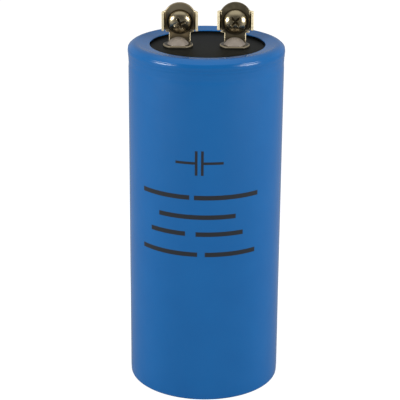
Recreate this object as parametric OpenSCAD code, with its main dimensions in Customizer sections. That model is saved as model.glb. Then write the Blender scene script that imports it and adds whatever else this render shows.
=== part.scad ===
// Large electrolytic capacitor with two screw terminals.
// Millimetres, +Z up, origin at the centre of the base. The screw heads face -Y.

/* [Body] */
// Height of the sleeved body, from the base to the top of the rolled rim
body_h = 120; // [90:1:160]
// Outer radius of the aluminium can
can_r = 25.6; // [24:0.1:30]
// Thickness of the can's wall
can_wall = 0.6; // [0.4:0.05:0.9]
// Thickness of the can's base
can_base_t = 0.8; // [0.6:0.1:2]
// Outside corner radius of the can's base
can_corner_r = 1.3; // [1.1:0.1:2.5]
// Outer radius of the rolled rim in section
curl_r = 2.2; // [1.9:0.1:2.4]
// How far round the rim is rolled, in degrees
curl_turn = 195; // [170:5:200]
// How far the rolled rim swells past the wall
rim_bulge = 0.33; // [0.1:0.01:0.6]
// Depth of the groove rolled in below the cover
bead_depth = 1; // [0.6:0.1:1.6]
// Half the height of that groove
bead_half = 1.6; // [1.2:0.1:2.4]
// Length of the score lines of the pressure relief in the base
vent_l = 24; // [10:1:40]
// Width of the score lines
vent_w = 0.6; // [0.3:0.1:1]
// Depth of the score lines
vent_depth = 0.4; // [0.1:0.1:0.5]

/* [Sleeve] */
// Thickness of the shrunk film
sleeve_t = 0.35; // [0.2:0.05:0.6]
// How far the film's edge on top reaches in from the can's wall
top_lip_in = 6.3; // [5.6:0.1:7.5]
// How far the film's edge on top lies below the rim
top_lip_drop = 0.7; // [0.4:0.05:0.9]
// How far the film's edge under the base reaches in from the can's wall
base_lip_in = 4.8; // [3.6:0.1:9]
// How far the film sinks into the groove
sleeve_dip = 0.12; // [0:0.01:0.3]
// Thickness of the insulating disc under the can
disc_t = 0.5; // [0.3:0.1:1.5]

/* [Cover] */
// Thickness of the cover in the middle
cover_t = 4; // [3.2:0.1:6]
// How far the cover lies below the film's edge
cover_drop = 0.8; // [0.6:0.05:1.6]
// How far the film's edge stands in over the sealing ring
lip_overhang = 0.2; // [0:0.05:0.6]
// Thickness of the rubber left under the edge of the rolled rim
ring_under = 0.5; // [0.3:0.1:0.8]

/* [Terminals] */
// Distance between the two rivets
pitch = 18.9; // [16:0.1:21]
// Thickness of the terminals' sheet
sheet_t = 0.8; // [0.6:0.05:1.2]
// Radius of the round foot
foot_r = 5; // [4.4:0.1:5.6]
// Distance from the rivet to the foot's flat front
foot_front = 4.15; // [3.8:0.05:4.4]
// Width of the neck
neck_w = 7.3; // [5.5:0.1:8]
// Inside radius of the bend between foot and plate
bend_r = 0.8; // [0.5:0.1:1.5]
// How far the plate's straight sides cut into the circle of its round top
plate_flat = 0.65; // [0.3:0.05:0.9]
// Radius of the plate's round top
plate_top_r = 5.5; // [5.3:0.1:6.5]
// Height of the plate's top above the cover
plate_h = 14; // [12.5:0.1:16]
// Height of the plate's shoulders above the cover
shoulder_h = 3.65; // [3:0.05:4]
// Corner radius of the shoulders
shoulder_r = 0.5; // [0.2:0.1:0.8]
// Height of the lugs' lower ends above the cover
lug_low = 4.5; // [4.2:0.1:6]
// How far the lugs stand out in front of the plate
lug_depth = 2; // [1.2:0.1:3]
// Inside radius of the lugs' bends
lug_bend_r = 1; // [0.4:0.1:1.1]
// Outer radius of the tapped collar behind the plate
collar_r = 2.9; // [2.5:0.1:3.4]
// How far the collar stands out behind the plate
collar_l = 1.6; // [0.8:0.1:2.5]
// Height of the screw's axis above the cover
screw_h = 7.5; // [7.2:0.1:8.4]
// Forward lean of the left plate, in degrees
left_lean = 6; // [-8:0.5:8]
// Forward lean of the right plate, in degrees
right_lean = -8; // [-8:0.5:8]
// How far the left plate stands to the side of its rivet
left_shift = 0.5; // [-0.8:0.1:0.8]
// How far the right plate stands to the side of its rivet
right_shift = 0.2; // [-0.8:0.1:0.8]

/* [Screws] */
// Radius of the screw's thread
screw_r = 2; // [1.5:0.1:2.2]
// Length of the screw below its head
screw_l = 8; // [6:0.5:12]
// Radius of the screw's head
head_r = 3.95; // [3.4:0.05:4.4]
// Height of the screw's head
head_h = 3; // [2.6:0.1:3.4]
// Height of the straight edge of the head
head_edge = 0.5; // [0.3:0.1:1.3]
// Radius of the round edge of the head
head_round_r = 0.5; // [0.3:0.1:1.4]
// Radius of the cross recess at the top of the head
recess_r = 2.1; // [1.5:0.1:2.4]
// Depth of the cross recess
recess_depth = 1.9; // [1:0.1:2]
// Width of the recess's arms
recess_w = 1; // [0.6:0.1:1.3]
// Turn of the left screw, in degrees
left_turn = 20; // [0:5:90]
// Turn of the right screw, in degrees
right_turn = 45; // [0:5:90]

/* [Rivets] */
// Radius of the rivet's shank
rivet_r = 2; // [1.5:0.1:2.3]
// Radius of the rivet's head
rivet_head_r = 3.55; // [3:0.05:4]
// Radius of the round crown on the rivet's head
rivet_crown_r = 2.6; // [2:0.1:2.8]
// Slope of the rivet head's flank, in degrees
rivet_flank = 50; // [35:1:55]
// Height of the straight edge of the rivet's head
rivet_edge = 0.1; // [0.05:0.05:0.4]
// Radius of the closed end under the cover
rivet_end_r = 3.1; // [2.6:0.1:3.6]
// Height of the closed end
rivet_end_h = 1.3; // [0.8:0.1:2]
// Radius of the washers under the cover
washer_r = 4.5; // [4:0.1:5.5]
// Thickness of the washers
washer_t = 0.8; // [0.5:0.1:1.2]

/* [Winding] */
// Room between the roll and the cover
head_room = 13.8; // [8:0.1:20]
// Radius of the hole through the middle of the roll
roll_hole_r = 2.5; // [1.5:0.1:4]
// Number of grooves that show the turns on each end
roll_rings = 12; // [4:1:20]
// Width of those grooves
roll_groove_w = 0.4; // [0.2:0.1:0.6]
// Depth of those grooves
roll_groove_d = 0.4; // [0.2:0.1:0.8]
// Height of the tape round the roll
tape_h = 60; // [20:1:60]
// Thickness of the tape
tape_t = 0.15; // [0.1:0.05:0.3]
// Thickness of the pad under the roll
pad_t = 1; // [0.5:0.1:2]
// Width of the lead ribbons
lead_w = 6; // [5:0.5:8]
// Thickness of the lead ribbons
lead_t = 0.3; // [0.2:0.05:0.5]
// How far the lead ribbons reach down into the roll
lead_sunk = 15; // [5:1:30]
// Inside bend radius of the lead ribbons
lead_bend_r = 1.5; // [0.5:0.1:3]
// Distance from the rivets back to the rise of the ribbons
lead_back = 8; // [6:0.5:12]

/* [Clearances] */
// Between the film and the can
film_gap = 0.05; // [0.02:0.01:0.1]
// Between the can's wall and the cover
cover_gap = 0.15; // [0.1:0.01:0.3]
// Between the can's inside and the roll
roll_gap = 1.1; // [1:0.1:1.8]
// Between the can's rounded edge and the flat pieces under and over its base
base_gap = 0.5; // [0.2:0.1:1]
// Between the sealing ring and what it sits between
ring_gap = 0.05; // [0.02:0.01:0.1]
// Between the rivets' heads and the terminals' bends
head_gap = 0.15; // [0.05:0.05:0.5]
// Between the rivets' shanks and their holes
rivet_gap = 0.05; // [0.02:0.01:0.1]
// Between the screws' heads and the bends of the lugs
lug_clear = 0.35; // [0.05:0.05:0.5]
// Between the screws and their tapped holes
screw_gap = 0.05; // [0.02:0.01:0.1]
// Between the lead ribbons and their slits in the roll
lead_gap = 0.05; // [0.02:0.01:0.1]

/* [Hidden] */
$fn = 96;
// Points along each arc and each rolled shape of a turned section
arc_n = 12;
// Overshoot of cuts past a face
eps = 1;

// Heights, from the base up
disc_z = sleeve_t + film_gap;
can_z = disc_z + disc_t;
floor_z = can_z + can_base_t;
pad_top_z = floor_z + pad_t;
lip_z = body_h - top_lip_drop;
cover_z = lip_z - cover_drop;
cover_low_z = cover_z - cover_t;
ring_top_z = lip_z - sleeve_t - film_gap;
washer_z = cover_low_z - washer_t;
lead_z = washer_z - lead_t;
roll_top_z = cover_low_z - head_room;

// Radii of the body
can_in_r = can_r - can_wall;
top_lip_r = can_r - top_lip_in;
base_lip_r = can_r - base_lip_in;
cover_r = can_in_r - cover_gap;
ring_in_r = top_lip_r + lip_overhang;
flat_r = can_r - can_corner_r - base_gap;
roll_r = can_in_r - roll_gap;

// Middle of the rolled rim's section
curl_x = can_r + rim_bulge - curl_r;
curl_z = body_h - sleeve_t - film_gap - curl_r;
// The step in the cover leaves the rubber its thickness under the rim's edge
step_z = curl_z - curl_r * sin(max(curl_turn - 180, 0)) - ring_under;
// The groove lies where its upper slope carries the cover's edge
bead_z = cover_low_z - film_gap - bead_half * acos(2 * cover_gap / bead_depth - 1) / 180;
swell_z = bead_z + bead_half;
ring_slope = atan(top_lip_drop / (curl_x - top_lip_r));

// Bend line of the terminals: behind the rivet's head
bend_y = rivet_head_r + head_gap;
bend_z = sheet_t + bend_r;
plate_y = bend_y + bend_r;
plate_w = 2 * (plate_top_r - plate_flat);
// The lugs end where the round top begins
top_centre_h = plate_h - plate_top_r;
lug_top = top_centre_h + sqrt(pow(plate_top_r, 2) - pow(plate_w / 2, 2));
lug_bend_x = head_r + lug_clear;

// Points on an arc round (x, z)
function arc(x, z, r, from, to) =
    [for (i = [0 : arc_n]) let (a = from + (to - from) * i / arc_n) [x + r * cos(a), z + r * sin(a)]];

// Points backwards
function back(points) = [for (i = [len(points) - 1 : -1 : 0]) points[i]];

// Depth of a rolled groove at a distance u from its middle
function dip(u, depth, half) = abs(u) >= half ? 0 : depth * (1 + cos(180 * u / half)) / 2;

// Swell of the wall below the rolled rim, from the groove up
function swell(z) = z <= swell_z ? 0 : rim_bulge * (1 - cos(180 * (z - swell_z) / (curl_z - swell_z))) / 2;

// Side of a turned wall of radius r from the groove up to the rolled rim
function wall_side(r, depth) = concat(
    [for (i = [0 : 2 * arc_n]) let (u = (i / arc_n - 1) * bead_half) [r - dip(u, depth, bead_half), bead_z + u]],
    [for (i = [1 : arc_n - 1]) let (z = swell_z + (curl_z - swell_z) * i / arc_n) [r + swell(z), z]]);

// Section of the rolled rim, grown by gap on both sides
function curl_section(gap, turn) = concat(
    arc(curl_x, curl_z, curl_r + gap, 0, turn),
    arc(curl_x, curl_z, curl_r - can_wall - gap, turn, 0));

// Outer line of the film at a thickness t from the can, from its edge below to its edge on top
function film_line(t, low) = concat(
    [[base_lip_r, low]],
    arc(can_r - can_corner_r, low + can_corner_r + t, can_corner_r + t, -90, 0),
    wall_side(can_r + t, sleeve_dip),
    arc(curl_x, curl_z, curl_r + t, 0, 90 + ring_slope),
    [[top_lip_r, lip_z - sleeve_t - film_gap + t]]);

// Section of a bent strip of thickness t: a straight run in, a bend round (x, y) and a straight run on
function bent_strip(x, y, r, t, from, to, run_in, run_on) =
    let (
        way = sign(to - from),
        way_in = way * [-sin(from), cos(from)],
        way_on = way * [-sin(to), cos(to)],
        inner = arc(x, y, r, from, to),
        outer = arc(x, y, r + t, from, to))
    concat(
        [inner[0] - run_in * way_in], inner,
        [inner[arc_n] + run_on * way_on, outer[arc_n] + run_on * way_on],
        back(outer), [outer[0] - run_in * way_in]);

// A section drawn in Y and Z, carried across X by a width
module across(width) rotate([90, 0, 90]) linear_extrude(width, center = true) children();

module at_left() translate([-pitch / 2, 0, 0]) children();

module at_right() translate([pitch / 2, 0, 0]) children();

module sleeve() {
    color("#2a6fb8")
    rotate_extrude()
    polygon(concat(film_line(sleeve_t + film_gap, 0), back(film_line(film_gap, sleeve_t))));
}

// Deep drawn can with its base scored for pressure relief and its rim rolled over the seal
module can() {
    color("#c9ccce")
    difference() {
        rotate_extrude()
        polygon(concat(
            [[0, can_z]],
            arc(can_r - can_corner_r, can_z + can_corner_r, can_corner_r, -90, 0),
            wall_side(can_r, bead_depth),
            curl_section(0, curl_turn),
            back(wall_side(can_in_r, bead_depth)),
            arc(can_r - can_corner_r, can_z + can_corner_r, can_corner_r - can_wall, 0, -90),
            [[can_r - can_corner_r - can_wall, floor_z], [0, floor_z]]));
        for (a = [0, 60, 120])
            rotate([0, 0, a])
            translate([-vent_l / 2, -vent_w / 2, can_z - eps])
            cube([vent_l, vent_w, vent_depth + eps]);
    }
}

module base_disc() {
    color("#3b3f45")
    translate([0, 0, disc_z])
    cylinder(r = flat_r, h = disc_t);
}

// Cover of moulded phenolic: a disc with a step round its edge
module cover() {
    color("#2b2a27")
    difference() {
        rotate_extrude()
        polygon([[0, cover_low_z], [cover_r, cover_low_z], [cover_r, step_z],
                 [ring_in_r - ring_gap, step_z], [ring_in_r - ring_gap, cover_z], [0, cover_z]]);
        for (side = [-1, 1])
            translate([side * pitch / 2, 0, cover_low_z - eps])
            cylinder(r = rivet_r + rivet_gap, h = cover_t + 2 * eps);
    }
}

// Rubber ring squeezed between the cover's step and the rolled rim
module sealing_ring() {
    color("#161616")
    rotate_extrude()
    difference() {
        translate([ring_in_r, step_z])
        square([cover_r - ring_gap - ring_in_r, ring_top_z - step_z]);
        polygon(curl_section(ring_gap, curl_turn + ring_gap / curl_r * 180 / PI));
    }
}

// What belongs to a plate leans about the bend line and stands to the side of the rivet
module on_plate(lean, shift) {
    translate([shift, bend_y, cover_z + bend_z])
    rotate([lean, 0, 0])
    translate([0, -bend_y, -bend_z])
    children();
}

// Outline that the foot and the neck are cut to: round at the rivet, with the neck behind it
module foot_cut(shift) {
    translate([0, 0, cover_z - eps])
    linear_extrude(lug_low + eps)
    union() {
        intersection() {
            circle(r = foot_r);
            translate([-foot_r, -foot_r])
            square([2 * foot_r, foot_r + bend_y]);
        }
        translate([shift - neck_w / 2, 0])
        square([neck_w, plate_y + sheet_t + eps]);
    }
}

// Half of the outline that the plate is cut to above the neck, seen from the front
module plate_half() {
    polygon(concat(
        [[0, shoulder_h]],
        arc(plate_w / 2 - shoulder_r, shoulder_h + shoulder_r, shoulder_r, -90, 0),
        [[plate_w / 2, lug_low], [lug_bend_x, lug_low], [lug_bend_x, lug_top]],
        arc(0, top_centre_h, plate_top_r, acos(plate_w / 2 / plate_top_r), 90)));
}

module plate_cut() {
    translate([0, plate_y + sheet_t + eps, 0])
    rotate([90, 0, 0])
    linear_extrude(sheet_t + bend_r + 2 * eps)
    union() {
        plate_half();
        mirror([1, 0])
        plate_half();
    }
}

// One of the two lugs that turn forward beside the screw
module lug() {
    translate([0, 0, lug_low])
    linear_extrude(lug_top - lug_low)
    polygon(bent_strip(lug_bend_x, plate_y - lug_bend_r, lug_bend_r, sheet_t, 90, 0,
                       sheet_t, lug_depth - lug_bend_r));
}

module collar() {
    translate([0, plate_y + sheet_t / 2, screw_h])
    rotate([-90, 0, 0])
    cylinder(r = collar_r, h = sheet_t / 2 + collar_l);
}

// Terminal pressed from one sheet: round foot, bend, plate, two lugs and a tapped collar
module terminal(lean, shift) {
    color("#b9ab93")
    difference() {
        union() {
            intersection() {
                on_plate(lean, shift)
                across(2 * foot_r + plate_w)
                polygon(bent_strip(bend_y, bend_z, bend_r, sheet_t, -90 - lean, 0,
                                   bend_y + foot_front, plate_h - bend_z + eps));
                union() {
                    foot_cut(shift);
                    on_plate(lean, shift)
                    plate_cut();
                }
            }
            on_plate(lean, shift)
            union() {
                lug();
                mirror([1, 0, 0])
                lug();
                collar();
            }
        }
        translate([0, 0, cover_z - eps])
        cylinder(r = rivet_r + rivet_gap, h = sheet_t + 2 * eps);
        on_plate(lean, shift)
        translate([0, plate_y - eps, screw_h])
        rotate([-90, 0, 0])
        cylinder(r = screw_r + screw_gap, h = sheet_t + collar_l + 2 * eps);
    }
}

module terminal_left() at_left() terminal(left_lean, left_shift);

module terminal_right() at_right() terminal(right_lean, right_shift);

// Screw with a round head and a cross recess, in its terminal's tapped collar
module screw(lean, shift, turn) {
    // The round edge runs smoothly into a flatter dome
    round_x = head_r - head_round_r;
    dome_h = head_h - head_edge;
    dome_r = (pow(round_x, 2) + pow(dome_h, 2) - pow(head_round_r, 2)) / (2 * (dome_h - head_round_r));
    meet = atan((dome_r - dome_h) / round_x);
    color("#d8d4cb")
    on_plate(lean, shift)
    translate([0, plate_y, screw_h])
    rotate([90, 0, 0])
    difference() {
        rotate_extrude()
        polygon(concat(
            [[0, -screw_l], [screw_r, -screw_l], [screw_r, 0], [head_r, 0]],
            arc(round_x, head_edge, head_round_r, 0, meet),
            arc(0, head_h - dome_r, dome_r, meet, 90)));
        rotate([0, 0, turn])
        intersection() {
            translate([0, 0, head_h - recess_depth])
            cylinder(r1 = recess_w / 2, r2 = recess_r, h = recess_depth);
            union() {
                for (a = [0, 90])
                    rotate([0, 0, a])
                    translate([-recess_r, -recess_w / 2, 0])
                    cube([2 * recess_r, recess_w, head_h + eps]);
            }
        }
    }
}

module screw_left() at_left() screw(left_lean, left_shift, left_turn);

module screw_right() at_right() screw(right_lean, right_shift, right_turn);

// Rivet through the foot and the cover, closed over the lead ribbon
module rivet() {
    flank_z = cover_z + sheet_t + rivet_edge;
    crown_r = rivet_crown_r / sin(rivet_flank);
    crown_z = flank_z + (rivet_head_r - rivet_crown_r) * tan(rivet_flank) - crown_r * cos(rivet_flank);
    end_r = (pow(rivet_end_r, 2) + pow(rivet_end_h, 2)) / (2 * rivet_end_h);
    color("#a5a29c")
    rotate_extrude()
    polygon(concat(
        arc(0, lead_z - rivet_end_h + end_r, end_r, -90, -90 + asin(rivet_end_r / end_r)),
        [[rivet_r, lead_z], [rivet_r, cover_z + sheet_t],
         [rivet_head_r, cover_z + sheet_t], [rivet_head_r, flank_z]],
        arc(0, crown_z, crown_r, 90 - rivet_flank, 90)));
}

module rivet_left() at_left() rivet();

module rivet_right() at_right() rivet();

module washer() {
    color("#c9ccce")
    translate([0, 0, washer_z])
    difference() {
        cylinder(r = washer_r, h = washer_t);
        translate([0, 0, -eps])
        cylinder(r = rivet_r + rivet_gap, h = washer_t + 2 * eps);
    }
}

module washer_left() at_left() washer();

module washer_right() at_right() washer();

// Aluminium ribbon out of the roll, bent under the rivet and held by its closed end
module lead() {
    fall = lead_z - lead_bend_r - roll_top_z + lead_sunk;
    color("#d4d6d8")
    difference() {
        union() {
            translate([0, 0, lead_z])
            cylinder(r = lead_w / 2, h = lead_t);
            across(lead_w)
            polygon(bent_strip(lead_back - lead_bend_r, lead_z - lead_bend_r, lead_bend_r, lead_t, 90, 0,
                               lead_back - lead_bend_r, fall));
        }
        translate([0, 0, lead_z - eps])
        cylinder(r = rivet_r + rivet_gap, h = lead_t + 2 * eps);
    }
}

module lead_left() at_left() lead();

module lead_right() at_right() lead();

// Roll of foil and paper with the turns showing on both ends and slits for the leads
module winding() {
    step = (roll_r - roll_hole_r) / roll_rings;
    top_line = [for (i = [0 : roll_rings - 1]) let (r = roll_hole_r + (i + 0.5) * step)
        each [[r - roll_groove_w / 2, roll_top_z], [r - roll_groove_w / 2, roll_top_z - roll_groove_d],
              [r + roll_groove_w / 2, roll_top_z - roll_groove_d], [r + roll_groove_w / 2, roll_top_z]]];
    base_line = [for (p = top_line) [p[0], pad_top_z + roll_top_z - p[1]]];
    color("#d9cfb4")
    difference() {
        rotate_extrude()
        polygon(concat(
            [[roll_hole_r, roll_top_z]], top_line, [[roll_r, roll_top_z], [roll_r, pad_top_z]],
            back(base_line), [[roll_hole_r, pad_top_z]]));
        for (side = [-1, 1])
            translate([side * pitch / 2 - lead_w / 2 - lead_gap, lead_back - lead_gap, roll_top_z - lead_sunk])
            cube([lead_w + 2 * lead_gap, lead_t + 2 * lead_gap, lead_sunk + eps]);
    }
}

module winding_tape() {
    color("#c8a33a")
    translate([0, 0, (pad_top_z + roll_top_z - tape_h) / 2])
    difference() {
        cylinder(r = roll_r + tape_t, h = tape_h);
        translate([0, 0, -eps])
        cylinder(r = roll_r, h = tape_h + 2 * eps);
    }
}

module bottom_pad() {
    color("#cdbb93")
    translate([0, 0, floor_z])
    cylinder(r = flat_r, h = pad_t);
}

sleeve();
can();
base_disc();
cover();
sealing_ring();
terminal_left();
terminal_right();
screw_left();
screw_right();
rivet_left();
rivet_right();
washer_left();
washer_right();
lead_left();
lead_right();
winding();
winding_tape();
bottom_pad();
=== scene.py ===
# %% [markdown]
# # An electrolytic capacitor with two screw terminals
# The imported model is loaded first, as a fixed frame: every solid of the real capacitor is in it, at its
# real place. This script then dresses what the eye meets: the blue film, the dark cover, the two bent
# terminals with their rivets and screws. What is sealed inside keeps its solid and gets a material.

# %% Load the frame
import bmesh
import bpy
import numpy as np
from mathutils import Matrix, Vector
from mathutils.geometry import delaunay_2d_cdt


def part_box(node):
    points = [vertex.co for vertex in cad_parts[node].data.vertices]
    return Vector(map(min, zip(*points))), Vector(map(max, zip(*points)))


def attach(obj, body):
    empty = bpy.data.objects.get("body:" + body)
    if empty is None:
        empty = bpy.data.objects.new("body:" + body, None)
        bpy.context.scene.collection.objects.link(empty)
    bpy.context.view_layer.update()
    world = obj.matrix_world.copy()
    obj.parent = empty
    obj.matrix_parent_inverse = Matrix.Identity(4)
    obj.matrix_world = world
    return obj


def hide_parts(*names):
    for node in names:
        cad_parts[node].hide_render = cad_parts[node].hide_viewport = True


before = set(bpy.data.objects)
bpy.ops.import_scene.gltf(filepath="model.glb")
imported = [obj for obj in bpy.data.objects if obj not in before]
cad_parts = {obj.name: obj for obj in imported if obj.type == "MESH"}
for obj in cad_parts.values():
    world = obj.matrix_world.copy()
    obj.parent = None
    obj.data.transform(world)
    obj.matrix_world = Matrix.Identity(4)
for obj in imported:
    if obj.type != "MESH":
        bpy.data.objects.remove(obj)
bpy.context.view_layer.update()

print("nodes:", ", ".join(sorted(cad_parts)))

# %% [markdown]
# ## Sizes
# All sizes are in millimetres, as a maker would write them, and become metres only when a mesh is made.
# The height of the film and the place of each solid are read from the frame, so that a piece stays on
# what carries it.

# %% Sizes of the body
MM = 0.001
body_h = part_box("sleeve")[1][2] / MM
cover_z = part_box("cover")[1][2] / MM
# The film: its thickness, the wall's radius, the corner at the base and the edge folded in under the base
film_t, wall_r, corner_r, base_lip_r = 0.35, 26.0, 0.6, 20.8
# The rolled rim in section
rim_x, rim_r = 23.73, 2.6
rim_z = body_h - rim_r
rim_bulge = rim_x + rim_r - wall_r
# The film's cut edge on top, and how far it lies below the rim
lip_r, lip_drop = 19.3, 0.7
lip_z = body_h - lip_drop
# The groove under the cover: half its height, how far the film sinks into it, and its place
bead_half, bead_dip = 1.6, 0.07
bead_z = cover_z - 5.245
print("body", round(body_h, 2), "mm high, cover at", round(cover_z, 2), "and bulge", round(rim_bulge, 2))

# %% Sizes of a terminal
# The distance between the rivets, the sheet's thickness and the height of the screws' axes above the cover
pitch, sheet_t, screw_h = 18.9, 0.8, 7.5
# The bend between foot and plate: how far behind the rivet it starts, its inside radius, its axis' height
bend_y, bend_r = 3.7, 0.8
bend_z = sheet_t + bend_r
# How far each plate leans forward and stands to the right of its rivet, and how far its screw is turned
leans = {"left": 6.0, "right": -8.0}
shifts = {"left": 0.5, "right": 0.2}
turns = {"left": 20.0, "right": 45.0}
sides = {"left": -1, "right": 1}
print("terminals", pitch, "mm apart, leaning", leans)

# %% [markdown]
# ## From points to a mesh
# Each shape below is a table of points: rows and columns that a formula fills at once. `skin` joins each
# four neighbours to a face and closes the table where it should meet itself, and `piece` merges points that
# fall together at a pole, so that no seam stays open.

# %% The skin over a table of points
def skin(name, grid, rows_meet=True, columns_meet=False):
    """A mesh over grid[row, column] = point in mm; a table may meet itself in either direction."""
    rows, columns = grid.shape[:2]
    index = np.arange(rows * columns).reshape(rows, columns)
    index = np.vstack([index, index[:1]]) if rows_meet else index
    index = np.hstack([index, index[:, :1]]) if columns_meet else index
    faces = np.stack([index[:-1, :-1], index[:-1, 1:], index[1:, 1:], index[1:, :-1]], -1).reshape(-1, 4)
    mesh = bpy.data.meshes.new(name)
    mesh.from_pydata((grid.reshape(-1, 3) * MM).tolist(), [], faces.tolist())
    return mesh


# %% A piece on the object
def piece(name, mesh, *nodes):
    """Welds the mesh, turns its faces outwards, and puts it in the place of the named nodes."""
    work = bmesh.new()
    work.from_mesh(mesh)
    bmesh.ops.delete(work, geom=[vert for vert in work.verts if not vert.link_faces], context="VERTS")
    bmesh.ops.remove_doubles(work, verts=work.verts, dist=1e-7)
    if work.calc_volume(signed=True) < 0:
        bmesh.ops.reverse_faces(work, faces=work.faces)
    open_edges = sum(1 for edge in work.edges if len(edge.link_faces) != 2)
    work.to_mesh(mesh)
    work.free()
    mesh.shade_smooth()
    made = bpy.data.objects.new(name, mesh)
    bpy.context.scene.collection.objects.link(made)
    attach(made, "root")
    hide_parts(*nodes)
    print(name, "has", len(mesh.polygons), "faces and", open_edges, "open edges")
    return made


# %% [markdown]
# ## Profiles
# Most pieces of a capacitor are turned shapes, so their outline in radius and height says everything.
# `rounded` turns a few corners into an outline with real edge radii, because an edge without one catches
# no light. `thick` gives a line a wall, and `turned` carries an outline round the axis.

# %% Outlines and turned shapes
def arc(x, z, r, start, end, steps=12):
    """Points at (x + r cos a, z + r sin a) while a goes from start to end in degrees."""
    a = np.radians(np.linspace(start, end, steps + 1))
    return np.stack([x + r * np.cos(a), z + r * np.sin(a)], 1)


def rounded(corners, steps=6):
    """An open outline through (x, z, radius): each corner becomes an arc that touches both its sides."""
    out = [np.array(corners[0][:2], float)[None]]
    for before, here, after in zip(corners, corners[1:], corners[2:]):
        p, r = np.array(here[:2], float), here[2]
        a, b = np.array(before[:2], float) - p, np.array(after[:2], float) - p
        a, b = a / np.linalg.norm(a), b / np.linalg.norm(b)
        half = np.arccos(np.clip(a @ b, -1, 1)) / 2
        if r == 0 or abs(half - np.pi / 2) < 1e-6:
            out.append(p[None])
            continue
        middle = p + (a + b) / np.linalg.norm(a + b) * r / np.sin(half)
        start, end = p + a * r / np.tan(half) - middle, p + b * r / np.tan(half) - middle
        t = np.linspace(0, 1, steps + 1)[:, None]
        swing = np.pi - 2 * half
        out.append(middle + (np.sin((1 - t) * swing) * start + np.sin(t * swing) * end) / np.sin(swing))
    out.append(np.array(corners[-1][:2], float)[None])
    return np.vstack(out)


def thick(line, wall, steps=6):
    """A closed outline: the line, a round end, the same line moved by the wall to its left, a round end."""
    way = np.gradient(line, axis=0)
    way /= np.linalg.norm(way, axis=1)[:, None]
    left = np.stack([-way[:, 1], way[:, 0]], 1)
    other = line + wall * left
    t = np.radians(np.linspace(0, 180, steps + 2)[1:-1])[:, None]
    far = (line[-1] + other[-1]) / 2 + wall / 2 * (-np.cos(t) * left[-1] + np.sin(t) * way[-1])
    near = (line[0] + other[0]) / 2 + wall / 2 * (np.cos(t) * left[0] - np.sin(t) * way[0])
    return np.vstack([line, far, other[::-1], near])


def turned(outline, steps):
    """Rows round the Z axis: (r sin a, -r cos a, z), with a = 0 at the front."""
    a = np.linspace(0, 2 * np.pi, steps, endpoint=False)[:, None]
    r, z = outline[:, 0], outline[:, 1]
    return np.stack([r * np.sin(a), -r * np.cos(a), z + 0 * a], -1)


print("a square corner with a radius takes", len(rounded([(0, 0, 0), (1, 0, 0.2), (1, 1, 0)])) - 2, "points")

# %% [markdown]
# ## The shrunk film
# The can wears a tube of plastic film that was slipped over it and shrunk with hot air. It bridges the
# groove under the cover, swells over the rolled rim, and its cut edge curls in over the top. A lofted tube
# with modifiers could do it, but a turned profile gives each radius its true place. Waves of a hundredth of
# a millimetre, added to the table of points, keep it from looking machined.

# %% The outline of the film
# The groove is one wave of a cosine, and the swell up to the rolled rim is half a wave
bead = np.linspace(-bead_half, bead_half, 25)
bead_line = np.stack([wall_r - bead_dip * (1 + np.cos(np.pi * bead / bead_half)) / 2, bead_z + bead], 1)
rise = np.linspace(0, 1, 15)[1:-1]
swell_line = np.stack([wall_r + rim_bulge * (1 - np.cos(np.pi * rise)) / 2,
                       bead_z + bead_half + rise * (rim_z - bead_z - bead_half)], 1)
wall_z = np.linspace(corner_r, bead_z - bead_half, 60)[1:-1]
# The top slopes down to the cut edge, which stands on the rubber ring
slope = lip_drop / (rim_x - lip_r)
slope_x = rim_x - 0.6
film_line = np.vstack([
    np.stack([np.linspace(base_lip_r, wall_r - corner_r, 12)[:-1], np.zeros(11)], 1),
    arc(wall_r - corner_r, corner_r, corner_r, -90, 0, 14),
    np.stack([wall_r + 0 * wall_z, wall_z], 1),
    bead_line, swell_line,
    arc(rim_x, rim_z, rim_r, 0, 90 + np.degrees(np.arctan(slope)), 26),
    np.linspace([slope_x, lip_z + slope * (slope_x - lip_r)], [lip_r, lip_z], 8)])
stretches = np.linalg.norm(np.diff(film_line, axis=0), axis=1)
print("film outline:", len(film_line), "points,", round(stretches.sum(), 1), "mm from cut edge to cut edge")

# %% The film
round_steps = 200
film_outline = thick(film_line, film_t)
film_grid = turned(film_outline, round_steps)
round_it = np.linspace(0, 2 * np.pi, round_steps, endpoint=False)[:, None]
radius, height = film_outline[:, 0][None], film_outline[:, 1][None]
# Two waves of a hundredth of a millimetre cross on the wall, and fade out towards the base
deep, fine = 0.014, 0.010
wave = deep * np.sin(3 * round_it + height / 17) + fine * np.sin(7 * round_it - height / 9 + 1)
# On top, what is done to the cut edge begins at radius curl_r and is full curl_l further in
curl_r, curl_l, lip_wave = 21.5, 2.2, 0.05
at_lip = np.clip((curl_r - radius) / curl_l, 0, 1) * (height > body_h / 2)
wave = wave * np.clip(height / 8, 0, 1) + at_lip * lip_wave * np.sin(5 * round_it + 2)
# The straight wall is a tenth of a millimetre fuller, and the waves go inwards from there
fuller = np.where(np.abs(radius - wall_r) < 0.15, 0.1, 0)
above_base = film_grid[..., 2:] > 2
film_grid[..., :2] *= 1 + (fuller - deep - fine - wave * 0.7)[..., None] * above_base / wall_r
# The cut edge on top shrank a little wider, and off its middle: to the right, to the back and up, in mm
lip_wider = 0.2 / lip_r
lip_off = np.array([0.35, 0.12, 0.1])
film_grid[..., :2] *= 1 + lip_wider * at_lip[..., None]
film_grid += lip_off * at_lip[..., None]
film = piece("film", skin("film", film_grid, columns_meet=True), "sleeve")

# %% [markdown]
# ## The cover
# The cover is a disc of moulded phenolic, a hard dark plastic that stands heat. Only its raised middle
# shows, inside the black rubber ring that the rolled rim squeezes, so it is a turned shape with a small
# radius on its edge. A cylinder would have no radius there, and the edge would catch no light.

# %% The cover disc
cover_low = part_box("cover")[0][2] / MM
cover_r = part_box("cover")[1][0] / MM
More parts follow.
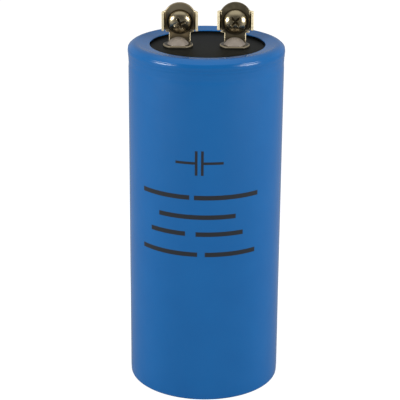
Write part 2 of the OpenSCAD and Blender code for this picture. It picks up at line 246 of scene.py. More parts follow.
# The raised middle, and the height of the flange that the rolled rim holds down
middle_r, flange_z = 19.45, cover_low + 1.83
cover_outline = rounded([(0, cover_z, 0), (middle_r, cover_z, 0.2), (middle_r, flange_z, 0),
                         (cover_r, flange_z, 0.1), (cover_r, cover_low, 0.3), (0, cover_low, 0)])
cover = piece("cover_disc", skin("cover_disc", turned(cover_outline, 128)), "cover")

# %% [markdown]
# ## The terminals
# Each terminal is pressed from one flat sheet: a round foot under the rivet, a neck that bends up, a plate
# with a round top, and two lugs that turn forward beside the screw. Extruded boxes with a bevel could stand
# in for it, but their bends would have no true radius, nor the sheet an even thickness. So it is made as the
# press makes it: a flat pattern is cut, and a folding formula moves each of its points, those of the front
# face and those of the back. Near the rim both faces sink by a quarter circle, as a sheared edge does.

# %% The flat pattern
bend_len = {side: bend_r * np.radians(90 + lean) for side, lean in leans.items()}
# Half the neck's and half the plate's width, the foot's radius, its flat front and where the neck leaves it
neck_half, plate_half, foot_r, foot_front, foot_back = 3.65, 4.85, 5.0, 4.15, 3.45
# Heights above the cover: shoulders, lower and upper ends of the lugs, top of the plate; the top's radius
shoulder, lug_low, lug_top, plate_top, top_r = 3.65, 4.5, 11.09, 14.0, 5.5
# The lugs: where their bend starts, its radius on the front face, and how far they stand out
fold_x, fold_r, lug_depth = 4.3, 1.0, 2.0
lug_end = fold_x + fold_r * np.pi / 2 + lug_depth - fold_r
# The notch under each lug, the round edge of the sheet, and the holes for screw and rivet
relief, edge_r, hole_r = 0.12, 0.3, 2.1


def flat_pattern(side):
    """Outline of the sheet as (x, distance along the sheet from the end of the bend), both in mm."""
    shift, to_foot = shifts[side], -bend_len[side] - bend_y
    top = arc(0, plate_top - top_r, top_r, np.degrees(np.arccos(plate_half / top_r)), 90, 14) - [0, bend_z]
    right = rounded([(neck_half, -bend_len[side] * 0.6, 0), (neck_half, shoulder - bend_z, 0.25),
                     (plate_half, shoulder - bend_z, 0.5), (plate_half, lug_low - relief - bend_z, 0.2),
                     (fold_x, lug_low - relief - bend_z, 0), (fold_x, lug_low - bend_z, 0),
                     (lug_end, lug_low - bend_z, 0.35), (lug_end, lug_top - bend_z, 0.35),
                     (fold_x + 0.45, lug_top - bend_z, 0.1), (top[0, 0] - 0.02, top[0, 1] + 0.1, 0)], 4)
    half = np.vstack([right, top[1:]])
    upper = np.vstack([half, (half * [-1, 1])[::-1][1:]]) + [shift, 0]
    foot = arc(0, 0, foot_r, 180 - np.degrees(np.arcsin(foot_back / foot_r)),
               180 + np.degrees(np.arcsin(foot_front / foot_r)), 18)
    foot = np.vstack([foot, (foot * [-1, 1])[::-1]]) + [0, to_foot]
    return np.vstack([upper, foot])


for side in sides:
    length, width = np.ptp(flat_pattern(side)[:, 1]), np.ptp(flat_pattern(side)[:, 0])
    print(side, "flat pattern:", round(length, 1), "mm long,", round(width, 1), "mm wide")


# %% The folding formula
def fold(flat, depth, side):
    """Bends the lugs forward about upright lines, then the sheet about the foot's line, then leans it.

    A point at a depth under the front face turns on a radius that is larger by this depth.
    """
    t = flat[:, 1]
    aside = shifts[side] * (t > -bend_len[side])
    x = flat[:, 0] - aside
    on_lug = (t > lug_low - bend_z - relief / 2) * (t < lug_top - bend_z + 0.01)
    past = np.maximum(np.abs(x) - fold_x, 0) * on_lug
    turn = np.minimum(past / fold_r, np.pi / 2)
    run = past - turn * fold_r
    out = np.abs(x) - past + (fold_r + depth) * np.sin(turn)
    forward = fold_r - (fold_r + depth) * np.cos(turn) + run
    x = np.where(past > 0, np.sign(x) * out, x)
    a = np.clip(t / bend_r, -np.radians(90 + leans[side]), 0)
    rest = t - a * bend_r
    y = (bend_r - forward) * np.cos(a) - rest * np.sin(a)
    z = (bend_r - forward) * np.sin(a) + rest * np.cos(a)
    lean = np.radians(leans[side])
    x = x + aside + sides[side] * pitch / 2
    return np.stack([x, bend_y + y * np.cos(lean) - z * np.sin(lean),
                     cover_z + bend_z + y * np.sin(lean) + z * np.cos(lean)], 1)


for side in sides:
    tip = fold(np.array([[shifts[side], plate_top - bend_z]]), 0, side)[0]
    print(side, "plate ends at", tip.round(2), "mm")


# %% Cut, fold and thicken the sheets
def spaced(loop, step):
    """The same closed outline with points no further than step apart."""
    ends = np.roll(loop, -1, axis=0)
    counts = np.maximum(np.ceil(np.linalg.norm(ends - loop, axis=1) / step).astype(int), 1)
    return np.vstack([p + (q - p) * np.arange(n)[:, None] / n for p, q, n in zip(loop, ends, counts)])


def reach(points, loop):
    """How far each point is from the nearest stretch of a closed outline."""
    start, way = loop, np.roll(loop, -1, axis=0) - loop
    off = points[:, None] - start[None]
    share = np.clip((off * way).sum(2) / (way**2).sum(1), 0, 1)
    return np.linalg.norm(off - share[..., None] * way, axis=2).min(1)


def inset(loop, gap):
    """The outline's points moved inwards by the gap, without those that come too near another stretch."""
    way = np.roll(loop, -1, axis=0) - np.roll(loop, 1, axis=0)
    way /= np.linalg.norm(way, axis=1)[:, None]
    moved = loop + gap * np.stack([-way[:, 1], way[:, 0]], 1)
    near_enough = 0.96
    return moved[reach(moved, loop) > near_enough * gap]


def inner_points(side, loop, holes):
    """Points over the sheet: a 0.5 mm grid, a finer one in the bend, and rows that follow the round rim."""
    xs, ts = np.meshgrid(np.arange(-8, 8.01, 0.5), np.arange(-10, 13, 0.5))
    fine_x, fine_t = np.meshgrid(np.arange(-4, 4.3, 0.4), np.linspace(-bend_len[side], 0, 9))
    inside = np.vstack([np.stack([xs.ravel(), ts.ravel()], 1),
                        np.stack([fine_x.ravel(), fine_t.ravel()], 1)])
    inside = inside[reach(inside, loop) > edge_r + 0.3]
    gaps = [*edge_r * (1 - np.cos(np.radians([25, 50, 75]))), edge_r, edge_r + 0.06]
    inside = np.vstack([inset(loop, gap) for gap in gaps] + [inside])
    for hole in holes:
        inside = inside[reach(inside, hole) > 0.15]
    return inside


def sheet_of(side):
    """Both faces of the sheet over the flat pattern, and the walls of its rim and its two holes.

    A point nearer to the rim than edge_r sinks by edge_r - sqrt(edge_r^2 - (edge_r - distance)^2).
    """
    loop = spaced(flat_pattern(side), 0.3)
    centres = np.array([[shifts[side], screw_h - bend_z], [0, -bend_len[side] - bend_y]])
    holes = [arc(0, 0, hole_r, 0, -360, 40)[:-1] + centre for centre in centres]
    points = np.vstack([loop, *holes, inner_points(side, loop, holes)])
    starts = np.cumsum([0, len(loop), len(holes[0]), len(holes[1])])
    rings = [list(range(a, b)) for a, b in zip(starts, starts[1:])]
    verts, _, faces, *_ = delaunay_2d_cdt([Vector(p) for p in points], [], rings, 2, 1e-5)
    flat = np.array([v[:] for v in verts])
    middles = np.array([flat[list(face)].mean(0) for face in faces])
    keep = (np.linalg.norm(middles[:, None] - centres, axis=2) > hole_r - 0.02).all(1)
    faces = [list(face) for face, kept in zip(faces, keep) if kept]
    near = np.minimum(reach(flat, loop), edge_r)
    sunk = edge_r - np.sqrt(edge_r**2 - (edge_r - near)**2)
    both_faces = np.vstack([fold(flat, sunk, side), fold(flat, sheet_t - sunk, side)])
    count = len(flat)
    walls = [(b, a, a + count, b + count) for ring in rings for a, b in zip(ring, ring[1:] + ring[:1])]
    mesh = bpy.data.meshes.new("sheet_" + side)
    mesh.from_pydata((both_faces * MM).tolist(), [],
                     faces + [[i + count for i in face[::-1]] for face in faces] + walls)
    # The plating covers the round top; along the rest of the rim the pale sheared edge shows, and its pale
    # colour is partly a painted highlight
    plated_from = lug_top - bend_z
    below_top = flat[:, 1] < plated_from
    at_rim = [near[face].mean() < edge_r * 0.99 and flat[face, 1].mean() < plated_from for face in faces]
    on_wall = [below_top[wall[0] % count] for wall in walls]
    mesh.polygons.foreach_set("material_index", np.array(at_rim * 2 + on_wall, int))
    return mesh


sheets = {side: piece("terminal_sheet_" + side, sheet_of(side), "terminal_" + side) for side in sides}

# %% [markdown]
# ## Collars, screws and rivets
# The sheet is too thin for a thread, so the press draws a collar out behind the plate, which is tapped for
# the pan-head screw. A boolean could cut the screw's cross recess, but it would leave knife edges, so the
# whole screw is one table of points: it runs from the middle of the recess out over the head and down along
# the thread, whose radius rises and falls with the height and the turn. Rivets and collars are turned.

# %% Put a shape on a terminal's plate
def on_plate(grid, side):
    """From the screw's own axis (+Z out of the head) to the leaning plate, in mm."""
    x, y, z = grid[..., 0], grid[..., 1], grid[..., 2]
    lean = np.radians(leans[side])
    depth, up = bend_r - z, screw_h - bend_z + y
    return np.stack([x + sides[side] * pitch / 2 + shifts[side],
                     bend_y + depth * np.cos(lean) - up * np.sin(lean),
                     cover_z + bend_z + depth * np.sin(lean) + up * np.cos(lean)], -1)


def about_z(outline, steps):
    """Rows round the screw's axis: (r cos a, r sin a, z)."""
    a = np.linspace(0, 2 * np.pi, steps, endpoint=False)[:, None]
    return np.stack([outline[:, 0] * np.cos(a), outline[:, 0] * np.sin(a), outline[:, 1] + 0 * a], -1)


for side in sides:
    print(side, "screw stands on the plate at", on_plate(np.zeros(3), side).round(2), "mm")

# %% Collars
# The collar's root lies hidden in the sheet; its end stands 1.6 mm behind the plate
collar_r, bore_r, root_r, root_z = 2.9, 2.12, 3.4, -sheet_t / 2
collar_end = -sheet_t - 1.6
collar_outline = rounded([(2.3, root_z, 0), (root_r, root_z, 0), (root_r, -sheet_t, 0),
                          (collar_r, -sheet_t, 0.3), (collar_r, collar_end, 0.2), (bore_r, collar_end, 0.15),
                          (bore_r, root_z, 0), (2.3, root_z, 0)])[:-1]
collars = {side: piece("terminal_collar_" + side,
                       skin("collar", on_plate(about_z(collar_outline, 72), side), columns_meet=True),
                       "terminal_" + side) for side in sides}


# %% Screws
head_r, head_h, head_edge, fullness = 3.95, 3.0, 0.5, 2.3
thread_r, thread_pitch, thread_depth, end_r, screw_l = 2.0, 0.7, 0.42, 1.5, 8.0
# The cross recess: its radius on top and at its floor, its depth, half an arm's width, the arms' steepness
recess_r, floor_r, recess_depth, arm_half, arm_steep = 2.3, 0.6, 1.9, 0.5, 6


def soft_min(a, b, k):
    """The lower of two heights, with the crease between them rounded over about k."""
    h = np.clip(0.5 + 0.5 * (b - a) / k, 0, 1)
    return b * (1 - h) + a * h - k * h * (1 - h)


def screw_grid(side, columns=240):
    """Rows round the axis; columns run from the recess over the head to the thread's end.

    The dome is a superellipse, z = (1 - (r / head_r)^fullness)^(1 / fullness): a circle has fullness 2, and
    more is flatter in the middle and rounder at the rim. The recess is the higher of a cone and of four
    walls that rise beside the arms. The thread's groove is a triangle wave of z / pitch + angle / (2 pi).
    """
    # Rings stand close together over the recess, and wider over the rest of the dome
    past_recess = recess_r + 0.15
    fan = np.linspace(np.arcsin(past_recess / head_r), np.pi / 2, 36)[1:]
    dome = np.concatenate([np.linspace(0, past_recess, 88), head_r * np.sin(fan)])
    dome_z = (1 - np.clip(dome / head_r, 0, 1) ** fullness) ** (1 / fullness)
    under = rounded([(head_r, head_edge, 0), (head_r, 0, 0.12), (2.2, 0, 0)])[1:]
    z = np.arange(0, screw_l + 1e-6, 0.06)
    r = np.concatenate([dome, under[:, 0], 0 * z + thread_r, [1.2, 0]])
    h = np.concatenate([head_edge + (head_h - head_edge) * dome_z, under[:, 1], -z, [-screw_l, -screw_l]])
    a = np.linspace(0, 2 * np.pi, columns, endpoint=False)[:, None]
    radius, level = r + 0 * a, h + 0 * a
    first = len(r) - len(z) - 2
    groove = np.abs((z / thread_pitch + a / (2 * np.pi)) % 1 - 0.5) * 2
    # In the last half millimetre the screw tapers to end_r and the thread runs out
    tip = np.clip((screw_l - z) / 0.5, 0, 1)
    radius[:, first:-2] = (np.minimum(thread_r, end_r + 0.55 * tip)
                           - thread_depth * np.clip(groove * 1.15, 0, 1) * tip)
    b = a - np.radians(turns[side])
    arm = arm_half - np.minimum(np.abs(radius * np.cos(b)), np.abs(radius * np.sin(b)))
    cone = head_h - recess_depth * np.clip((recess_r - radius) / (recess_r - floor_r), 0, 1)
    walls = head_h + 0.02 - arm * arm_steep
    recess = -soft_min(-cone, -walls, 0.06)
    count, plain = len(dome), level.copy()
    level[:, :count] = soft_min(level[:, :count], recess[:, :count], 0.07)
    return np.stack([radius * np.cos(a), radius * np.sin(a), level], -1), plain - level


def screw_mesh(side):
    """The screw's skin, with how far each point lies under the plain dome kept as the attribute
    recess_dirt_and_shade, for dirt and painted shade in the recess.
    """
    grid, depth = screw_grid(side)
    mesh = skin("screw", on_plate(grid, side))
    recess_dirt_and_shade = np.clip(depth / 0.35, 0, 1)
    mesh.attributes.new("recess_dirt_and_shade", "FLOAT", "POINT").data.foreach_set("value", recess_dirt_and_shade.ravel())
    return mesh


screws = {side: piece("screw_with_thread_" + side, screw_mesh(side), "screw_" + side) for side in sides}

# %% Rivets
rivet_r, rivet_head_r, crown_r, flank = 2.0, 3.55, 2.9, np.radians(50)
# The head: a low straight edge, a flank, and a crown that is part of a sphere and meets the flank smoothly
seat_z = cover_z + sheet_t
flank_z = seat_z + 0.1
sphere_r = crown_r / np.sin(flank)
sphere_z = flank_z + (rivet_head_r - crown_r) * np.tan(flank) - sphere_r * np.cos(flank)
crown = arc(0, sphere_z, sphere_r, 90, 40, 16)
skirt = rounded([(*crown[-1], 0), (rivet_head_r, flank_z, 0.12), (rivet_head_r, seat_z, 0.03),
                 (rivet_r, seat_z, 0)])
# The closed end under the cover is part of a sphere too
end_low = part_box("rivet_left")[0][2] / MM
bulb_r, bulb_h = 3.1, 1.3
bulb_sphere = (bulb_r**2 + bulb_h**2) / (2 * bulb_h)
bulb = arc(0, end_low + bulb_sphere, bulb_sphere, -90 + np.degrees(np.arcsin(bulb_r / bulb_sphere)), -90, 10)
rivet_outline = np.vstack([crown[:-1], skirt, [[rivet_r, end_low + bulb_h]], bulb])
rivets = {side: piece("rivet_dome_" + side,
                      skin("rivet", turned(rivet_outline, 96) + [sides[side] * pitch / 2, 0, 0]),
                      "rivet_" + side) for side in sides}

# %% [markdown]
# ## Materials
# Each finish starts from what the real one is. One function turns the colours that a picture editor shows
# into the linear ones that light is reckoned in, and one adds a node with its settings and links.

# %% Colours and nodes
def linear(code):
    """sRGB hex to linear RGBA: each channel c becomes c / 12.92 or ((c + 0.055) / 1.055) ** 2.4."""
    c = np.array([int(code[i:i + 2], 16) for i in (1, 3, 5)]) / 255
    return (*np.where(c <= 0.04045, c / 12.92, ((c + 0.055) / 1.055) ** 2.4), 1.0)


def node(tree, kind, sockets=None, **settings):
    """Adds a node: settings are its properties; sockets maps an input to a value or another's output."""
    made = tree.nodes.new(kind)
    for name, value in settings.items():
        setattr(made, name, value)
    for name, value in (sockets or {}).items():
        if isinstance(value, bpy.types.NodeSocket):
            tree.links.new(value, made.inputs[name])
        else:
            made.inputs[name].default_value = value
    return made


def new_material(name):
    """An empty material with its output, its surface shader and a place to read the object's own metres."""
    material = bpy.data.materials.new(name)
    material.use_nodes = True
    tree = material.node_tree
    tree.nodes.clear()
    place = node(tree, "ShaderNodeTexCoord").outputs["Object"]
    shader = node(tree, "ShaderNodeBsdfPrincipled")
    node(tree, "ShaderNodeOutputMaterial", {"Surface": shader.outputs[0]})
    return material, tree, place, shader


print("the middle grey of a picture editor is", round(float(linear("#808080")[0]), 3), "of white in light")

# %% [markdown]
# ### Shrink film
# Heat-shrunk polyester or vinyl tube: an even blue with a satin gloss, a faint orange-peel of about half
# a millimetre (a noise of 1900 per metre) and a still fainter cloudiness of a centimetre in the colour. The
# print is generic: the drawing sign of a capacitor over a few plain bars. A picture wrapped round the can
# would blur when one comes close, so each shape is reckoned as the distance to a box on the unrolled wall,
# which bends with the film and stays sharp.

# %% The film's material
film_mat, tree, place, shader = new_material("blue_shrink_film")
cloud = node(tree, "ShaderNodeTexNoise", {"Vector": place, "Scale": 90.0, "Detail": 3.0})
blue = node(tree, "ShaderNodeMix", {"Factor": cloud.outputs["Fac"], "A": linear("#0e5b9b"),
                                    "B": linear("#1262a3")}, data_type="RGBA")
peel = node(tree, "ShaderNodeTexNoise", {"Vector": place, "Scale": 1900.0, "Detail": 2.0})
bump = node(tree, "ShaderNodeBump", {"Height": peel.outputs["Fac"], "Strength": 0.03, "Distance": 0.0001})
# The unrolled wall in mm: the angle from the front line times the radius, and the height
x, y, z = node(tree, "ShaderNodeSeparateXYZ", {"Vector": place}).outputs
minus_y = node(tree, "ShaderNodeMath", {0: y, 1: -1.0}, operation="MULTIPLY")
azimuth = node(tree, "ShaderNodeMath", {0: x, 1: minus_y.outputs[0]}, operation="ARCTAN2")
along = node(tree, "ShaderNodeMath", {0: azimuth.outputs[0], 1: wall_r}, operation="MULTIPLY")
up = node(tree, "ShaderNodeMath", {0: z, 1: 1 / MM}, operation="MULTIPLY")
spot = node(tree, "ShaderNodeCombineXYZ", {0: along.outputs[0], 1: up.outputs[0]})
# Each shape is (middle along the wall, middle height, half length, half height); the last four are the sign
bars = [(-14.3, 73.9, 9.1, 0.8), (7.6, 73.9, 11.3, 0.8), (-2.9, 67.1, 13.3, 0.8), (-13.1, 61.1, 6.5, 0.8),
        (5.0, 61.1, 8.1, 0.8), (-13.0, 53.9, 10.5, 0.8), (9.0, 53.9, 9.0, 0.8),
        (-6.6, 85.8, 3.4, 0.45), (2.6, 85.8, 3.4, 0.45), (-3.0, 85.8, 0.45, 4.2), (-1.0, 85.8, 0.45, 4.2)]
ink = None
for middle, level, half_l, half_h in bars:
    off = node(tree, "ShaderNodeVectorMath", {0: spot.outputs[0], 1: (middle, level, 0)},
               operation="SUBTRACT")
    near = node(tree, "ShaderNodeVectorMath", {0: off.outputs[0]}, operation="ABSOLUTE")
    past = node(tree, "ShaderNodeVectorMath", {0: near.outputs[0], 1: (half_l, half_h, 0)},
                operation="SUBTRACT")
    past_x, past_y = node(tree, "ShaderNodeSeparateXYZ", {"Vector": past.outputs[0]}).outputs[:2]
    far = node(tree, "ShaderNodeMath", {0: past_x, 1: past_y}, operation="MAXIMUM")
    ink = far if ink is None else node(tree, "ShaderNodeMath", {0: ink.outputs[0], 1: far.outputs[0]},
                                       operation="MINIMUM")
# The ink's edge is soft over a tenth of a millimetre
inked = node(tree, "ShaderNodeMapRange", {"Value": ink.outputs[0], "From Min": -0.06, "From Max": 0.06,
                                          "To Min": 1.0, "To Max": 0.0})
colour = node(tree, "ShaderNodeMix", {"Factor": inked.outputs[0], "A": blue.outputs["Result"],
                                      "B": linear("#22262c")}, data_type="RGBA")
tree.links.new(colour.outputs["Result"], shader.inputs["Base Color"])
tree.links.new(bump.outputs[0], shader.inputs["Normal"])
shader.inputs["Roughness"].default_value = 0.2
shader.inputs["Specular IOR Level"].default_value = 0.35
film.data.materials.append(film_mat)
print("film:", film_mat.name, "with", len(bars), "printed shapes")

# %% [markdown]
# ### Phenolic and rubber
# The cover is moulded from phenolic with a filler, so its dark brown-black is finely mottled, in specks of
# 0.7 mm, and its gloss is weak: a low IOR stands for the matt filler at the surface. The sealing ring is
# black rubber, which swallows light, and the disc under the base is vulcanised fibre. Sealed inside are a
# drawn aluminium can with upright drawing marks, a roll of kraft paper and foil in yellow tape, a pad of
# pressed board and ribbons of etched foil, so that whoever opens the part finds them finished too.

# %% The cover, the ring and the base disc
cover_mat, tree, place, shader = new_material("moulded_phenolic")
specks = node(tree, "ShaderNodeTexNoise", {"Vector": place, "Scale": 1400.0, "Detail": 4.0,
                                           "Roughness": 0.7})
mottle = node(tree, "ShaderNodeMapRange", {"Value": specks.outputs["Fac"], "From Min": 0.35,
                                           "From Max": 0.65})
dark = node(tree, "ShaderNodeMix", {"Factor": mottle.outputs[0], "A": linear("#121311"),
                                    "B": linear("#1f201c")}, data_type="RGBA")
bump = node(tree, "ShaderNodeBump", {"Height": specks.outputs["Fac"], "Strength": 0.25, "Distance": 0.00005})
tree.links.new(dark.outputs["Result"], shader.inputs["Base Color"])
tree.links.new(bump.outputs[0], shader.inputs["Normal"])
shader.inputs["Roughness"].default_value = 0.4
shader.inputs["IOR"].default_value = 1.1
cover.data.materials.append(cover_mat)


def plain_finish(name, low, high, scale, rough, metallic=0.0, specular=0.5, strength=0.1, stretch=(1, 1, 1)):
    """A finish whose colour and relief both follow one noise of the given scale per metre."""
    material, tree, place, shader = new_material(name)
    spread = node(tree, "ShaderNodeMapping", {"Vector": place, "Scale": stretch})
    grain = node(tree, "ShaderNodeTexNoise", {"Vector": spread.outputs[0], "Scale": scale, "Detail": 4.0})
    blend = node(tree, "ShaderNodeMix", {"Factor": grain.outputs["Fac"], "A": linear(low),
                                         "B": linear(high)}, data_type="RGBA")
    relief = node(tree, "ShaderNodeBump", {"Height": grain.outputs["Fac"], "Strength": strength,
                                           "Distance": 0.0001})
    tree.links.new(blend.outputs["Result"], shader.inputs["Base Color"])
    tree.links.new(relief.outputs[0], shader.inputs["Normal"])
    shader.inputs["Roughness"].default_value = rough
    shader.inputs["Metallic"].default_value = metallic
    shader.inputs["Specular IOR Level"].default_value = specular
    return material


finishes = {
    "sealing_ring": plain_finish("black_rubber", "#050506", "#0b0b0c", 900, 0.6, specular=0.1),
    "base_disc": plain_finish("vulcanised_fibre", "#33373c", "#43484e", 700, 0.6, strength=0.3),
    "can": plain_finish("drawn_aluminium", "#bdc0c4", "#d5d7da", 400, 0.35, metallic=1.0,
                        stretch=(1, 1, 0.05)),
    "winding": plain_finish("kraft_paper_roll", "#cfc19c", "#ddd2b3", 600, 0.8, strength=0.3),
    "winding_tape": plain_finish("yellow_polyester_tape", "#c59a2e", "#d4ad45", 300, 0.3),
    "bottom_pad": plain_finish("pressed_board", "#c2ad80", "#d3c298", 900, 0.85, strength=0.4),
}
finishes["lead_left"] = finishes["lead_right"] = plain_finish(
    "etched_aluminium_foil", "#c6c8cb", "#dcdee0", 1500, 0.5, metallic=1.0)
finishes["washer_left"] = finishes["washer_right"] = finishes["can"]
for name, material in finishes.items():
    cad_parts[name].data.materials.clear()
    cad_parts[name].data.materials.append(material)
print("materials on the solids that stay:", ", ".join(sorted(finishes)))

# %% [markdown]
# ### Metals
# Terminals are steel or brass sheet with a dull plating that has gone a little olive, the right one more
# than the left. The press tears the metal at the rim of a sheet, so a sheared edge is pale and matt, and its
# pale colour also stands in for the highlight that the rounded edge catches. Screws are plated brighter
# over their pressed shape, and rivets are aluminium, satin from the setting tool.

# %% The metals
# Distances from the screw's seat: a painted shadow lies within the first, and the plating is unshaded past
# the second
painted_shadow_r, unshaded_r = 4.2, 4.5


def plated_sheet(name, low, high, scale, rough, side):
    """Mottled plating, darkened by painted shade on the foot and by a painted shadow in a line round the
    head.

    Unshaded is 1 from 3 mm above the cover and 4.5 mm from the screw's seat on, 0 below 1 mm or within 4.2
    mm.
    """
    material = plain_finish(name, low, high, scale, rough, metallic=0.87, strength=0.06)
    tree = material.node_tree
    shader = next(made for made in tree.nodes if made.type == "BSDF_PRINCIPLED")
    plating = shader.inputs["Base Color"].links[0].from_socket
    place = node(tree, "ShaderNodeTexCoord").outputs["Object"]
    height = node(tree, "ShaderNodeSeparateXYZ", {"Vector": place}).outputs[2]
    # Painted shade: the sheet darkens from 3 mm above the cover down to 1 mm above it
    above_foot_shade = node(tree, "ShaderNodeMapRange", {"Value": height, "From Min": (cover_z + 1.0) * MM,
                                              "From Max": (cover_z + 3.0) * MM})
    # Painted shadow: a dark ring round a point 0.2 mm under the screw's axis, fading out by 4.5 mm from it
    shadow_centre = Vector(on_plate(np.array([0, -0.2, 0]), side) * MM)
    away = node(tree, "ShaderNodeVectorMath", {0: place, 1: shadow_centre}, operation="DISTANCE")
    past_shadow = node(tree, "ShaderNodeMapRange", {"Value": away.outputs["Value"], "From Min": painted_shadow_r * MM,
                                               "From Max": unshaded_r * MM})
    unshaded = node(tree, "ShaderNodeMath", {0: above_foot_shade.outputs[0], 1: past_shadow.outputs[0]}, operation="MULTIPLY")
    # Where painted shade or painted shadow falls, the plating gives way to this dark brown
    shaded_plating = node(tree, "ShaderNodeMix", {"Factor": unshaded.outputs[0], "A": linear("#453e30"), "B": plating},
                data_type="RGBA")
    tree.links.new(shaded_plating.outputs["Result"], shader.inputs["Base Color"])
    return material


sheet_mats = {"left": plated_sheet("dull_nickel_plate", "#94866a", "#a19375", 500, 0.38, "left"),
              "right": plated_sheet("tarnished_nickel_plate", "#363126", "#a09477", 420, 0.32, "right")}
print("sheets:", ", ".join(material.name for material in sheet_mats.values()))

# %% The screws' plating, with dirt and painted shade in the recess
screw_mat, tree, place, shader = new_material("bright_nickel_plate")
grain = node(tree, "ShaderNodeTexNoise", {"Vector": place, "Scale": 700.0, "Detail": 4.0})
plate = node(tree, "ShaderNodeMix", {"Factor": grain.outputs["Fac"], "A": linear("#9c9075"),
                                     "B": linear("#ada184")}, data_type="RGBA")
recess_dirt_and_shade = node(tree, "ShaderNodeAttribute", attribute_name="recess_dirt_and_shade").outputs["Fac"]
# Deep in the recess the plating is darker and browner, as painted shade and dirt together, and duller and
# less of a metal, because dirt covers it
shaded_and_soiled = node(tree, "ShaderNodeMix", {"Factor": recess_dirt_and_shade, "A": plate.outputs["Result"], "B": linear("#75694f")},
              data_type="RGBA")
dull = node(tree, "ShaderNodeMapRange", {"Value": recess_dirt_and_shade, "To Min": 0.25, "To Max": 0.5})
tree.links.new(shaded_and_soiled.outputs["Result"], shader.inputs["Base Color"])
tree.links.new(dull.outputs[0], shader.inputs["Roughness"])
metal = node(tree, "ShaderNodeMapRange", {"Value": recess_dirt_and_shade, "To Min": 1.0, "To Max": 0.35})
tree.links.new(metal.outputs[0], shader.inputs["Metallic"])
print("screws:", screw_mat.name)

# %% The sheared edges, pale partly as a painted highlight
edge_mat, tree, place, shader = new_material("sheared_edge_with_painted_highlight")
grain = node(tree, "ShaderNodeTexNoise", {"Vector": place, "Scale": 1500.0, "Detail": 3.0})
# Pale cream: partly the bare metal of the cut, partly a painted highlight along the rounded edge
torn = node(tree, "ShaderNodeMix", {"Factor": grain.outputs["Fac"], "A": linear("#d8c79a"),
                                    "B": linear("#ebdfc0")}, data_type="RGBA")
high = node(tree, "ShaderNodeSeparateXYZ", {"Vector": place}).outputs[2]
# Painted shade: the edge darkens on the foot, from 2.5 mm above the cover down to 1 mm, below the lugs' tone
foot_edge_shade = node(tree, "ShaderNodeMapRange", {"Value": high, "From Min": (cover_z + 1.0) * MM,
                                           "From Max": (cover_z + 2.5) * MM})
torn = node(tree, "ShaderNodeMix", {"Factor": foot_edge_shade.outputs[0], "A": linear("#a3967a"),
                                    "B": torn.outputs["Result"]}, data_type="RGBA")
# The lower half of the foot's edge is the torn part, and it is darker still with painted shade next to the
# cover
torn_and_shaded = node(tree, "ShaderNodeMapRange", {"Value": high, "From Min": (cover_z + 0.35) * MM,
                                          "From Max": (cover_z + 0.9) * MM})
edge = node(tree, "ShaderNodeMix", {"Factor": torn_and_shaded.outputs[0], "A": linear("#3a352a"),
                                    "B": torn.outputs["Result"]}, data_type="RGBA")
tree.links.new(edge.outputs["Result"], shader.inputs["Base Color"])
shader.inputs["Metallic"].default_value = 0.35
print("edges:", edge_mat.name)

# %% Put the metals on
rivet_mat = plain_finish("satin_aluminium", "#8d8378", "#9b9185", 900, 0.5, metallic=0.6, strength=0.08)
for side in sides:
    sheets[side].data.materials.append(sheet_mats[side])
    sheets[side].data.materials.append(edge_mat)
    collars[side].data.materials.append(sheet_mats[side])
    screws[side].data.materials.append(screw_mat)
    rivets[side].data.materials.append(rivet_mat)
print("rivets:", rivet_mat.name, "and the other metals are on their pieces")

# %% [markdown]
# ## Floor, light and camera
# The object stands on a white surface in a white surround. The surround is dimmer at the front, where the
# camera stands, which gives bright metal its dark middle, and brightest overhead. Two wide, low soft lights
# with round ends stand at the sides and make the short streaks on the rolled rim. Much white light all
# round would also whiten the floor, but it would wash out the film's gloss. So the floor and the surround
# are plain white to the camera, and the light that they give stays plain.

# %% The floor
floor_mesh = bpy.data.meshes.new("floor")
reach_m = 4
corners = [(-reach_m, -reach_m, 0), (reach_m, -reach_m, 0), (reach_m, reach_m, 0), (-reach_m, reach_m, 0)]
floor_mesh.from_pydata(corners, [], [(0, 1, 2, 3)])
floor = bpy.data.objects.new("floor", floor_mesh)
bpy.context.scene.collection.objects.link(floor)
floor_mat = bpy.data.materials.new("white_table")
floor_mat.use_nodes = True
tree = floor_mat.node_tree
tree.nodes.clear()
path = node(tree, "ShaderNodeLightPath").outputs
# What the light on the floor lacks to white; gloss sees a tenth of it, since the wall mirrors the dim front
lack, mirrored = 0.84, 0.1
held = node(tree, "ShaderNodeMath", {0: path["Is Glossy Ray"], 1: mirrored}, operation="MULTIPLY")
seen = node(tree, "ShaderNodeMath", {0: path["Is Camera Ray"], 1: path["Is Transmission Ray"]},
            operation="MAXIMUM")
seen = node(tree, "ShaderNodeMath", {0: seen.outputs[0], 1: held.outputs[0]}, operation="MAXIMUM")
lift = node(tree, "ShaderNodeMath", {0: seen.outputs[0], 1: lack}, operation="MULTIPLY")
table_top = node(tree, "ShaderNodeBsdfDiffuse", {"Color": linear("#959595")})
glow = node(tree, "ShaderNodeEmission", {"Strength": lift.outputs[0]})
both = node(tree, "ShaderNodeAddShader", {0: table_top.outputs[0], 1: glow.outputs[0]})
node(tree, "ShaderNodeOutputMaterial", {"Surface": both.outputs[0]})
floor_mesh.materials.append(floor_mat)
print("floor:", floor_mat.name)

# %% The surround
world = bpy.data.worlds.new("studio")
bpy.context.scene.world = world
world.use_nodes = True
tree = world.node_tree
tree.nodes.clear()
path = node(tree, "ShaderNodeLightPath").outputs
sky_way = node(tree, "ShaderNodeTexCoord").outputs["Generated"]
way = node(tree, "ShaderNodeSeparateXYZ", {"Vector": sky_way}).outputs
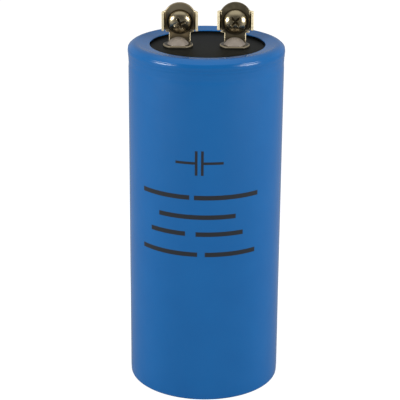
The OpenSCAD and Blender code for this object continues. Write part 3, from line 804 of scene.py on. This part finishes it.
# Dim at the front and brighter at the back; bright overhead
back = node(tree, "ShaderNodeMapRange", {"Value": way[1], "From Min": -0.8, "From Max": 0.7, "To Min": 0.12,
                                         "To Max": 0.42}, interpolation_type="SMOOTHSTEP")
ceiling = node(tree, "ShaderNodeMapRange", {"Value": way[2], "From Min": 0.5, "From Max": 0.9, "To Min": 0.0,
                                            "To Max": 0.95}, interpolation_type="SMOOTHSTEP")
level = node(tree, "ShaderNodeMath", {0: back.outputs[0], 1: ceiling.outputs[0]}, operation="MAXIMUM")
seen = node(tree, "ShaderNodeMath", {0: path["Is Camera Ray"], 1: path["Is Transmission Ray"]},
            operation="MAXIMUM")
strength = node(tree, "ShaderNodeMix", {"Factor": seen.outputs[0], "A": level.outputs[0], "B": 1.0},
                data_type="FLOAT")
sky = node(tree, "ShaderNodeBackground", {"Color": (1, 1, 1, 1), "Strength": strength.outputs["Result"]})
node(tree, "ShaderNodeOutputWorld", {"Surface": sky.outputs[0]})
print("surround:", world.name)


# %% The soft boxes
def soft_box(name, azimuth, elevation=16, distance=0.7, size=(0.42, 0.24), watts=4.3):
    """A flat lamp with an oval face, aimed at the capacitor; azimuth 0 is the front, 90 the right side."""
    aim = Vector((0, 0, 0.07))
    a, e = np.radians([azimuth, elevation])
    place = Vector((np.sin(a) * np.cos(e), -np.cos(a) * np.cos(e), np.sin(e))) * distance + aim
    facing = (aim - place).to_track_quat("-Z", "Y").to_matrix().to_4x4()
    lamp = bpy.data.lights.new(name, "AREA")
    lamp.shape, lamp.size, lamp.size_y, lamp.energy = "ELLIPSE", size[0], size[1], watts
    made = bpy.data.objects.new(name, lamp)
    made.matrix_world = Matrix.Translation(place) @ facing
    bpy.context.scene.collection.objects.link(made)
    print(name, "at", azimuth, "degrees,", watts, "W")


soft_box("soft_box_left", -64)
soft_box("soft_box_right", 64)

# %% The camera
# Fitted to the outline for an image of 400 pixels: azimuth, elevation and roll, focal length and place
a, e, roll = np.radians([-0.2137, 19.736, 0.4028])
focal_px, image_px, sensor_mm = 1454.37, 400, 36.0
camera_at = (0, -0.474422, 0.23413)
ahead = np.array([np.sin(a) * np.cos(e), np.cos(a) * np.cos(e), -np.sin(e)])
right = np.cross(ahead, [0, 0, 1])
right /= np.linalg.norm(right)
above = np.cross(right, ahead)
right, above = np.cos(roll) * right + np.sin(roll) * above, np.cos(roll) * above - np.sin(roll) * right
camera = bpy.data.objects.new("camera", bpy.data.cameras.new("camera"))
camera.data.sensor_width = sensor_mm
camera.data.lens = focal_px * sensor_mm / image_px
frame_of_view = Matrix(np.stack([right, above, -ahead], 1).tolist()).to_4x4()
camera.matrix_world = Matrix.Translation(camera_at) @ frame_of_view
bpy.context.scene.collection.objects.link(camera)
bpy.context.scene.camera = camera
bpy.context.scene.view_settings.view_transform = "Standard"
print("lens", round(camera.data.lens, 2), "mm")
